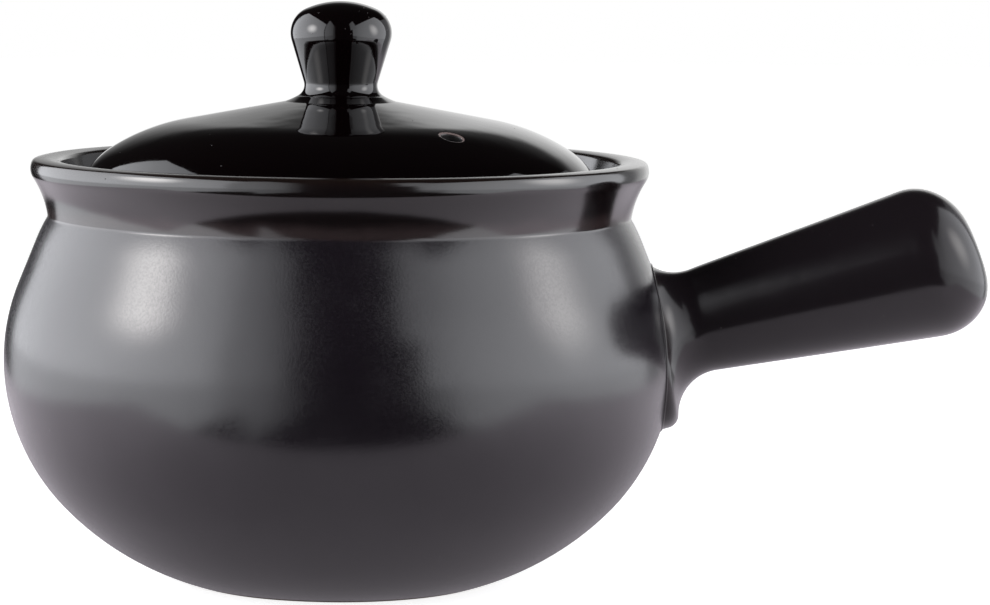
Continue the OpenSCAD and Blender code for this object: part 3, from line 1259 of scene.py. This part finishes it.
    def trimmed(self, line: np.ndarray, first: int) -> np.ndarray:
        """A line of the skin, cut where it dips into the belly and divided evenly.

        Args:
            line: Points from the handle's end to deep inside the belly.
            first: Number of the flare's first point.

        Returns:
            A fixed number of points, the last one just inside the belly.
        """
        outside = self.depth(line) + self.sink
        last = first + int(np.argmax(outside[first:] < 0))
        share = outside[last - 1] / (outside[last - 1] - outside[last])
        root = line[first - 1:last]
        root = np.vstack((root, line[last - 1] + share * (line[last] - line[last - 1])))
        return np.vstack((evenly(line[:first], self.grip_rings)[:-1], evenly(root, self.root_rings)))

    def cap(self, ring: np.ndarray) -> list[np.ndarray]:
        """Close the root inside the belly's wall.

        Args:
            ring: The last ring of the skin.

        Returns:
            Smaller and smaller rings just under the belly's skin, the last one a single point.
        """
        middle = ring.mean(axis=0)
        rings = []
        for i in reversed(range(self.cap_rings)):
            spot = middle + i / self.cap_rings * (ring - middle)
            for _ in range(self.cap_tries):
                spot = spot - np.multiply.outer(self.depth(spot) + 2 * self.sink, self.toward(0))
            rings.append(spot)
        return rings

    def build(self, wheel: Wheel) -> None:
        """Sweep the skin, trim it to the belly, drill the firing vent, and lay the bead.

        Args:
            wheel: The wheel that lays the bead and scatters the specks.
        """
        angles = np.linspace(0, 2 * math.pi, self.meridians, endpoint=False)
        lines = np.array([self.meridian(angle) for angle in angles])
        rings = [lines[:, i] for i in range(lines.shape[1])]
        edge = rings[-1]
        rings += self.cap(edge)
        glaze = self.finish.material("handle_glaze")
        skin = ring_skin("pot_handle", rings, glaze)
        vent = Vector(self.to_frame(np.array(self.vent_at), np.array(-self.grip_r), np.array(0.0)))
        Hole(vent, Vector(self.toward(90)), self.vent_r, self.vent_round, self.vent_reach, False).drill(skin)
        depth = self.depth(points_of(skin))
        give_attribute(skin, "thin", self.root_thin * nearness(depth, self.thin_width))
        give_attribute(skin, "inside", depth < self.skin_depth)
        bead = wheel.bead("handle_bead", edge, self.bead_r, glaze)
        give_attribute(bead, "thin", self.bead_thin)
        # No part of the handle is as high as its end is far out, so the specks lie all over it
        specks = wheel.scatter("handle", skin, self.specks, 0.0, self.end_x)
        ride(skin, Body.POT, Slot.HANDLE, "handle")
        ride(bead, Body.POT, Slot.SLIP, "handle_slip")
        ride(specks, Body.POT, Slot.HANDLE)


def evenly(line: np.ndarray, count: int) -> np.ndarray:
    """Divide a line into points at equal distances.

    Args:
        line: Points along the line, one row each.
        count: How many points are wanted.

    Returns:
        The new points.
    """
    steps = np.linalg.norm(np.diff(line, axis=0), axis=1)
    along = np.concatenate(([0.0], np.cumsum(steps)))
    wanted = np.linspace(0, along[-1], count)
    return np.stack([np.interp(wanted, along, line[:, i]) for i in range(3)], axis=1)


def ring_skin(name: str, rings: list[np.ndarray], glaze: Material) -> Object:
    """A closed skin through rings of points, of which the first and last are single points.

    Args:
        name: Name of the piece.
        rings: The rings, all with the same number of points.
        glaze: Its material.

    Returns:
        The piece.
    """
    count = len(rings[0])
    faces = []
    for i in range(len(rings) - 1):
        for j in range(count):
            after = (j + 1) % count
            faces.append((i * count + j, i * count + after, (i + 1) * count + after, (i + 1) * count + j))
    mesh = bpy.data.meshes.new(name)
    mesh.from_pydata(np.vstack(rings).tolist(), [], faces)
    mesh.materials.append(glaze)
    made = linked(name, mesh)
    outward(made)
    return made


@dataclass
class Lid:
    """The domed lid with its seat, locating flange and steam hole."""

    pot: PotBody
    tip_z: float
    rim_r: float
    flange_z: float
    land: float = 3 * MM
    edge_r: float = 26 * MM
    edge_slope: float = 66.0
    dome_r: float = 60 * MM
    mid_slope: float = 33.0
    slope: float = 10.5
    wall: float = 5 * MM
    flange_gap: float = 1.5 * MM
    steam_r: float = 3 * MM
    steam_at: float = 55.5 * MM
    steam_turn: float = -52.5
    steam_round: float = 0.9 * MM
    steam_reach: float = 12 * MM
    rim_from: float = 0.2
    rim_to: float = 0.9
    hollow_to: float = 0.1
    dome_cut: float = 0.5 * MM
    hollow_cut: float = 2 * MM
    flange_root: float = 1.3
    edge_rounds: tuple[float, ...] = (0.9 * MM, 0.8 * MM, 0.6 * MM, 1.2 * MM, 1.2 * MM, 2.0 * MM)
    longest_step: float = 2.2 * MM
    unevenness: float = 0.06 * MM
    thin_width: float = 1.5 * MM
    skin_depth: float = 1 * MM
    clear_r: float = 26 * MM
    specks: Specks = Specks(3000.0, 0.06 * MM, 0.30 * MM, 5)
    seed: float = 2.0

    @property
    def edge_c(self) -> Point:
        """Centre of the dome's curve near its edge."""
        spot = on_circle((0.0, 0.0), self.edge_r, 90 - self.edge_slope)
        return self.rim_r - spot[0], self.pot.ledge_z + self.land - spot[1]

    @property
    def dome_c(self) -> Point:
        """Centre of the dome's curve further in."""
        spot = on_circle((0.0, 0.0), self.dome_r - self.edge_r, 90 - self.mid_slope)
        return self.edge_c[0] - spot[0], self.edge_c[1] - spot[1]

    def dome(self, inset: float = 0.0) -> list[Point]:
        """Draw the dome.

        Args:
            inset: How far it is moved inwards.

        Returns:
            The points from its edge to its tip.
        """
        first = arc(self.edge_c, self.edge_r - inset, 90 - self.edge_slope, 90 - self.mid_slope, step=2)
        second = arc(self.dome_c, self.dome_r - inset, 90 - self.mid_slope, 90 - self.slope, step=1.5)
        tip = second[-1][1] + second[-1][0] * math.tan(math.radians(self.slope))
        return without_doubles(first + second + [(0.0, tip)])

    def height(self, radius: Union[float, np.ndarray]) -> Union[float, np.ndarray]:
        """Height of the dome at a radius, or at each of many."""
        points = np.array(self.dome()[::-1])
        return np.interp(radius, points[:, 0], points[:, 1])

    def outline(self) -> list[Point]:
        """The half section, from the tip over the edge and the flange to the middle of the hollow."""
        top = [p for p in self.dome()[::-1] if p[0] < self.rim_r - self.dome_cut]
        flange_r = self.pot.throat_r - self.flange_gap
        flange_in = flange_r - self.wall
        hollow = [p for p in self.dome(self.wall) if p[0] < flange_in - self.hollow_cut]
        shoulder = (self.rim_r, self.pot.ledge_z + self.land)
        foot = (self.rim_r, self.pot.ledge_z)
        seat = (flange_r, self.pot.ledge_z)
        outer = (flange_r, self.flange_z)
        inner = (flange_in, self.flange_z)
        under = (flange_in, self.height(flange_in) - self.wall * self.flange_root)
        corners = [top[-1], shoulder, foot, seat, outer, inner, under, hollow[0]]
        points = top + softened(corners, self.edge_rounds) + hollow
        return filled_in(without_doubles(points), self.longest_step)

    def build(self, wheel: Wheel, glaze: Material) -> None:
        """Turn the lid, drill its steam hole and scatter specks on its dome.

        Args:
            wheel: The wheel that turns it.
            glaze: Its glaze.
        """
        skin = wheel.turn("lid_dome", self.outline(), glaze, self.seed, self.unevenness)
        x, y = on_circle((0.0, 0.0), self.steam_at, self.steam_turn)
        spot = Vector((x, y, self.height(self.steam_at) - self.wall / 2))
        Hole(spot, Vector((0, 0, -1)), self.steam_r, self.steam_round, self.steam_reach, True).drill(skin)
        at = points_of(skin)
        radius = from_axis(at)
        edge_z = self.pot.ledge_z + self.land
        rim = np.hypot(radius - self.rim_r, at[:, 2] - edge_z)
        give_attribute(skin, "thin", nearness(rim, self.thin_width))
        give_attribute(skin, "inside", self.height(radius) - at[:, 2] > self.skin_depth)
        # A pale ring is painted on the hole's rolled edge as a painted highlight, and the hole's own wall is
        # dull
        roll = (from_axis(at - (x, y, 0.0)) - self.steam_r) / self.steam_round
        give_attribute(skin, "rim_highlight", (roll > self.rim_from) & (roll < self.rim_to))
        give_attribute(skin, "hollow", roll < self.hollow_to)
        specks = wheel.scatter("lid", skin, self.specks, edge_z, self.height(self.clear_r))
        ride(skin, Body.LID, Slot.LID, "lid")
        ride(specks, Body.LID, Slot.LID)


@dataclass
class Knob:
    """The solid knob and the slip wiped around its foot."""

    lid: Lid
    head_r: float
    rise: float = 17.4 * MM
    head_round: float = 8 * MM
    crown_slope: float = 24.0
    waist_r: float = 11 * MM
    waist_rise: float = 1.8 * MM
    waist_hollow: float = 3.6 * MM
    foot_r: float = 12.8 * MM
    slip_t: float = 0.6 * MM
    slip_r: float = 30 * MM
    slip_sunk: float = 0.05 * MM
    slip_tuck: float = 0.1 * MM
    sweep_points: int = 30
    under_points: int = 8
    longest_step: float = 1.0 * MM
    unevenness: float = 0.05 * MM
    speck_drop: float = 0.3 * MM
    speck_reach: float = 11 * MM
    specks: Specks = Specks(25000.0, 0.12 * MM, 0.42 * MM, 9, SpeckGlaze(colour=(0.30, 0.27, 0.27)))
    seed: float = 3.0

    def outline(self) -> tuple[list[Point], Point, float]:
        """The knob's half section.

        Returns:
            The points from the top to the middle of the foot, the foot's outer edge, and the skin's slope
            there in degrees.
        """
        tip = self.lid.tip_z
        head_c = (self.head_r - self.head_round, tip + self.rise)
        waist_c = (self.waist_r + self.waist_hollow, tip + self.waist_rise)
        reach = math.dist(head_c, waist_c)
        bend = math.degrees(math.acos((self.head_round + self.waist_hollow) / reach))
        cross = heading(head_c, waist_c) + bend
        lean = math.sin(math.radians(self.crown_slope))
        crown_r = (head_c[0] + self.head_round * lean) / lean
        crown_c = (0.0, head_c[1] + (self.head_round - crown_r) * math.cos(math.radians(self.crown_slope)))
        foot_z = waist_c[1] - leg(self.waist_hollow, waist_c[0] - self.foot_r)
        foot_turn = heading(waist_c, (self.foot_r, foot_z)) % 360
        points = (arc(crown_c, crown_r, 90, 90 - self.crown_slope, step=2)
                  + arc(head_c, self.head_round, 90 - self.crown_slope, cross, step=4)
                  + arc(waist_c, self.waist_hollow, 180 + cross, foot_turn, step=5)
                  + [(self.foot_r, self.lid.height(self.foot_r) + self.slip_t), (0.0, tip + self.slip_t)])
        points[0] = (0.0, points[0][1])
        outline = filled_in(without_doubles(points), self.longest_step)
        return outline, (self.foot_r, foot_z), foot_turn - 270

    def slip_outline(self, foot: Point, slope: float) -> list[Point]:
        """The ring of slip, from the knob's foot in a smooth sweep onto the lid and back under the knob.

        Args:
            foot: Outer edge of the knob's foot.
            slope: Slope of the knob's skin there, in degrees.

        Returns:
            The points.
        """
        end = (self.slip_r, self.lid.height(self.slip_r))
        width = end[0] - foot[0]
        first = math.tan(math.radians(slope)) * width
        last = -math.tan(math.radians(self.lid.slope)) * width
        sweep = []
        for t in np.linspace(0, 1, self.sweep_points):
            z = ((2 * t ** 3 - 3 * t ** 2 + 1) * foot[1] + (t ** 3 - 2 * t ** 2 + t) * first
                 + (3 * t ** 2 - 2 * t ** 3) * end[1] + (t ** 3 - t ** 2) * last)
            sweep.append((foot[0] + width * float(t), float(z)))
        inward = np.linspace(self.slip_r, foot[0], self.under_points)
        under = [(x, self.lid.height(x) - self.slip_sunk) for x in inward]
        middle = (0.0, self.lid.tip_z + self.slip_t - self.slip_tuck)
        start = (foot[0] - self.slip_tuck, foot[1])
        return [middle, start] + sweep + under + [(0.0, self.lid.tip_z)]

    def build(self, wheel: Wheel, glaze: Material, lid_glaze: Material) -> None:
        """Turn the knob and its ring of slip, and scatter specks on its head.

        Args:
            wheel: The wheel that turns the pieces.
            glaze: The knob's glaze.
            lid_glaze: The lid's glaze, which runs on over the slip.
        """
        outline, foot, slope = self.outline()
        knob = wheel.turn("lid_knob", outline, glaze, self.seed, self.unevenness)
        give_attribute(knob, "thin", 0.0)
        give_attribute(knob, "inside", 0.0)
        # The ring is as uneven as the lid, and in the same places, so that it lies on it
        sweep = self.slip_outline(foot, slope)
        ring = wheel.turn("knob_slip_ring", sweep, lid_glaze, self.lid.seed, self.lid.unevenness)
        give_attribute(ring, "thin", 0.0)
        top = outline[0][1]
        specks = wheel.scatter("knob", knob, self.specks, top - self.speck_reach, top - self.speck_drop)
        ride(knob, Body.LID, Slot.LID, "knob")
        ride(ring, Body.LID, Slot.SLIP, "knob_slip")
        ride(specks, Body.LID, Slot.LID)


# Studio

COOL: Colour = (0.975, 0.99, 1.035)
WARM: Colour = (1.03, 0.995, 0.975)
WHITE = (1.0, 1.0, 1.0, 1.0)


@dataclass(frozen=True)
class Panel:
    """A lamp face that stands upright beside the pot and shines across it, even or fading to its edges."""

    name: str
    side: Side
    distance: float
    front: float
    back: float
    low: float
    high: float
    brightness: float
    spread: float = 146.0
    tint: Colour = COOL
    fading: bool = False
    fade_span: Span = (0.5, 0.05)

    def build(self) -> None:
        """Hang the lamp so that it is as bright as asked when seen straight on."""
        lamp = bpy.data.lights.new(self.name, "AREA")
        lamp.shape = "RECTANGLE"
        lamp.size = self.back - self.front
        lamp.size_y = self.high - self.low
        lamp.spread = math.radians(self.spread)
        lamp.color = self.tint
        half = lamp.spread / 2
        lamp.energy = self.brightness * math.pi * lamp.size * lamp.size_y * (1 - half / math.tan(half))
        if self.fading:
            self._fade_out(lamp)
        holder = linked(self.name, lamp)
        holder.location = (self.side.value * self.distance, (self.front + self.back) / 2,
                           (self.low + self.high) / 2)
        holder.rotation_euler = Vector((-self.side.value, 0.0, 0.0)).to_track_quat("-Z", "Y").to_euler()
        holder.visible_camera = False

    def _fade_out(self, lamp: Light) -> None:
        """Let the lamp fade from its middle to nothing at its edges.

        Args:
            lamp: The lamp, whose surface runs from 0 to 1 both ways.
        """
        lamp.use_nodes = True
        bench = Bench(lamp.node_tree)
        place = bench.node("ShaderNodeNewGeometry", out="Parametric")
        middle = (0.5, 0.5, 0.0)
        away = bench.node("ShaderNodeVectorMath", {"operation": "DISTANCE"}, {0: place, 1: middle}, "Value")
        glow = bench.node("ShaderNodeEmission", {}, {"Strength": bench.fade(away, *self.fade_span)})
        bench.node("ShaderNodeOutputLight", {}, {"Surface": glow})


@dataclass
class Studio:
    """The camera, floor, world and lamps."""

    camera_at: Vector = field(default_factory=lambda: Vector((46.81 * MM, -1200 * MM, 203.2 * MM)))
    pitch: float = 5.667
    roll: float = 0.526
    lens: float = 145.39
    sensor: float = 36.0
    floor_size: float = 8.0
    floor_paper: Colour = (0.8, 0.8, 0.8)
    floor_near: float = 0.84
    floor_far_span: Span = (0.3, 0.8)
    table_front_span: Span = (-0.170, -0.178)
    table_left_span: Span = (-0.31, -0.34)
    table_right_span: Span = (0.39, 0.42)
    table_middle: float = 0.45
    table_left_glow: float = 1.12
    left_glow_span: Span = (-0.02, -0.24)
    table_right_glow: float = 0.98
    right_glow_span: Span = (0.03, 0.30)
    table_tint: Colour = (1.0, 0.93, 1.02)
    back_dim: float = 0.5
    back_dim_span: Span = (0.2, 0.6)
    foot_dim: float = 0.25
    foot_dim_span: Span = (0.09, 0.05)
    white_span: Span = (0.6, 1.2)
    room: float = 0.015
    wall: float = 0.36
    wall_up_span: Span = (0.65, 0.12)
    wall_low: float = 0.8
    wall_low_span: Span = (0.41, 0.32)
    wall_back_span: Span = (0.75, 0.97)
    wall_right_span: Span = (-0.35, 0.17)
    sheet_back_span: Span = (0.96, 0.99)
    sheet_up_span: Span = (0.05, 0.01)
    # Each with its distance, front and back edge, low and high edge, brightness and spread
    panels: tuple[Panel, ...] = (
        Panel("left_wall", Side.LEFT, 0.50, -0.66, 0.60, 0.04, 0.80, 3.5),
        Panel("left_wall_low", Side.LEFT, 0.50, -0.66, 0.60, -0.20, 0.04, 2.3),
        Panel("left_front", Side.LEFT, 0.30, -1.05, -0.42, 0.06, 0.91, 1.65, 160.0),
        Panel("left_front_far", Side.LEFT, 0.30, -1.50, -1.05, -0.30, 0.91, 1.0, 160.0),
        Panel("left_front_low", Side.LEFT, 0.30, -1.05, -0.55, -0.26, 0.06, 1.25, 160.0),
        Panel("left_front_gap", Side.LEFT, 0.30, -0.55, -0.42, -0.08, 0.06, 1.3, 160.0),
        Panel("left_core", Side.LEFT, 0.49, -0.38, -0.01, 0.14, 0.52, 7.0, tint=WARM, fading=True),
        Panel("right_wall", Side.RIGHT, 0.50, -0.63, 0.33, 0.04, 0.70, 2.4),
        Panel("right_wall_low", Side.RIGHT, 0.50, -0.63, 0.33, -0.20, 0.04, 1.9),
        Panel("right_front", Side.RIGHT, 0.50, -0.90, -0.63, 0.04, 0.50, 1.75, 160.0),
        Panel("right_front_high", Side.RIGHT, 0.50, -1.10, -0.63, 0.50, 1.25, 1.6, 160.0),
        Panel("right_front_low", Side.RIGHT, 0.50, -0.88, -0.63, -0.15, 0.04, 0.9, 160.0),
        Panel("right_back", Side.RIGHT, 0.50, 0.33, 0.75, -0.10, 0.50, 0.55),
        Panel("right_core", Side.RIGHT, 0.49, -0.21, 0.07, 0.06, 0.51, 3.2, tint=WARM, fading=True),
    )

    def build(self) -> None:
        """Set up everything around the pot."""
        bpy.context.scene.view_settings.view_transform = "Standard"
        self._camera()
        self._floor()
        self._world()
        for panel in self.panels:
            panel.build()

    def _camera(self) -> None:
        """Put the camera where the photograph was taken from."""
        data = bpy.data.cameras.new("camera")
        data.sensor_width = self.sensor
        data.sensor_fit = "HORIZONTAL"
        data.lens = self.lens
        holder = linked("camera", data)
        tilt = Euler((math.radians(90 - self.pitch), 0.0, 0.0)).to_matrix()
        roll = Matrix.Rotation(math.radians(self.roll), 3, "Z")
        holder.matrix_world = Matrix.Translation(self.camera_at) @ (tilt @ roll).to_4x4()
        bpy.context.scene.camera = holder

    def _floor(self) -> None:
        """Lay the pale floor, which reflections see only as far as the table's edges."""
        half = self.floor_size / 2
        mesh = bpy.data.meshes.new("floor")
        corners = [(-half, -half, 0), (half, -half, 0), (half, half, 0), (-half, half, 0)]
        mesh.from_pydata(corners, [], [(0, 1, 2, 3)])
        made, bench = Bench.material("pale_floor")
        place = bench.place()
        across = bench.axis(place, "X")
        depth = bench.axis(place, "Y")
        reach = bench.node("ShaderNodeVectorMath", {"operation": "LENGTH"}, {0: place}, "Value")
        glossy = bench.ray("Glossy")
        beyond = bench.fade(depth, *self.table_front_span).most(bench.fade(across, *self.table_left_span))
        beyond = beyond.most(bench.fade(across, *self.table_right_span))
        hidden = (glossy + bench.ray("Shadow")).least(1.0) * beyond
        paper = bench.node("ShaderNodeBsdfDiffuse", {}, {"Color": (*self.floor_paper, 1.0)})
        seen = (bench.ray("Camera") + bench.ray("Transmission")).least(1.0)
        white = seen * bench.blend(bench.fade(reach, *self.floor_far_span), self.floor_near, 1.0)
        white = bench.node("ShaderNodeEmission", {}, {"Color": WHITE, "Strength": white})
        lit = bench.node("ShaderNodeAddShader", {}, {0: paper, 1: white})
        # Glossy rays see a painted glow in place of the lit paper
        mirrored = self._mirrored(bench, across, depth, reach)
        lit = bench.node("ShaderNodeMixShader", {}, {0: glossy, 1: lit, 2: mirrored})
        clear = bench.node("ShaderNodeBsdfTransparent")
        shown = bench.node("ShaderNodeMixShader", {}, {0: hidden, 1: lit, 2: clear})
        bench.node("ShaderNodeOutputMaterial", {}, {"Surface": shown})
        mesh.materials.append(made)
        linked("floor", mesh)

    def _mirrored(self, bench: Bench, across: Wire, depth: Wire, reach: Wire) -> Wire:
        """Paint the table's light as a glow that only reflections see: brighter towards the lamps at its
        sides, dimmer towards the back, with a painted shadow around the pot's foot, and white far away.

        Args:
            bench: The floor's tree.
            across: Distance to the right of the pot's axis.
            depth: Distance behind it.
            reach: Distance from it.

        Returns:
            The shader.
        """
        left = (self.table_left_glow - self.table_middle) * bench.fade(across, *self.left_glow_span)
        right = (self.table_right_glow - self.table_middle) * bench.fade(across, *self.right_glow_span)
        glow = self.table_middle + left + right
        # Painted shade: the glow dims towards the back of the table
        glow = glow * (1.0 - self.back_dim * bench.fade(depth, *self.back_dim_span))
        # Painted shadow of the pot on the table around its foot
        glow = glow * (1.0 - self.foot_dim * bench.fade(reach, *self.foot_dim_span))
        white = bench.fade(reach, *self.white_span)
        return bench.node("ShaderNodeEmission", {}, {
            "Color": bench.mix(white, self.table_tint, WHITE[:3]), "Strength": bench.blend(white, glow, 1.0)})

    def _world(self) -> None:
        """Make the background a white sheet, also in reflections, and the rest a dim room with a wall."""
        world = bpy.data.worlds.new("studio")
        world.use_nodes = True
        bpy.context.scene.world = world
        bench = Bench(world.node_tree)
        direction = bench.place("Generated")
        right, back, up = (bench.axis(direction, name) for name in "XYZ")
        wall = self.wall * bench.fade(up, *self.wall_up_span)
        wall = wall + self.wall_low * bench.fade(up, *self.wall_low_span)
        wall = wall * bench.fade(back, *self.wall_back_span) * bench.fade(right, *self.wall_right_span)
        sheet = bench.fade(back, *self.sheet_back_span) * bench.fade(up, *self.sheet_up_span)
        seen = (bench.ray("Camera") + bench.ray("Transmission") + bench.ray("Glossy") * sheet).least(1.0)
        light = bench.blend(seen, self.room + wall, 1.0)
        shader = bench.node("ShaderNodeBackground", {}, {"Color": WHITE, "Strength": light})
        bench.node("ShaderNodeOutputWorld", {}, {"Surface": shader})


def main() -> None:
    """Build the studio and the pieces in order."""
    logging.basicConfig(level=logging.INFO, format="%(message)s")
    Studio().build()
    wheel = Wheel()
    pot_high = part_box("pot_body")[1]
    pot = PotBody(belly_r=pot_high.x, rim_z=pot_high.z)
    pot.build(wheel)
    Handle(pot, end_x=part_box("handle")[1].x).build(wheel)
    lid_low, lid_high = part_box("lid")
    lid_glaze = GlossGlaze(ior=1.5, seed=30.0).material("lid_glaze")
    lid = Lid(pot, tip_z=lid_high.z, rim_r=lid_high.x, flange_z=lid_low.z)
    lid.build(wheel, lid_glaze)
    knob_glaze = GlossGlaze(ior=1.62, seed=40.0).material("knob_glaze")
    Knob(lid, head_r=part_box("knob")[1].x).build(wheel, knob_glaze, lid_glaze)


if __name__ == "__main__":
    main()
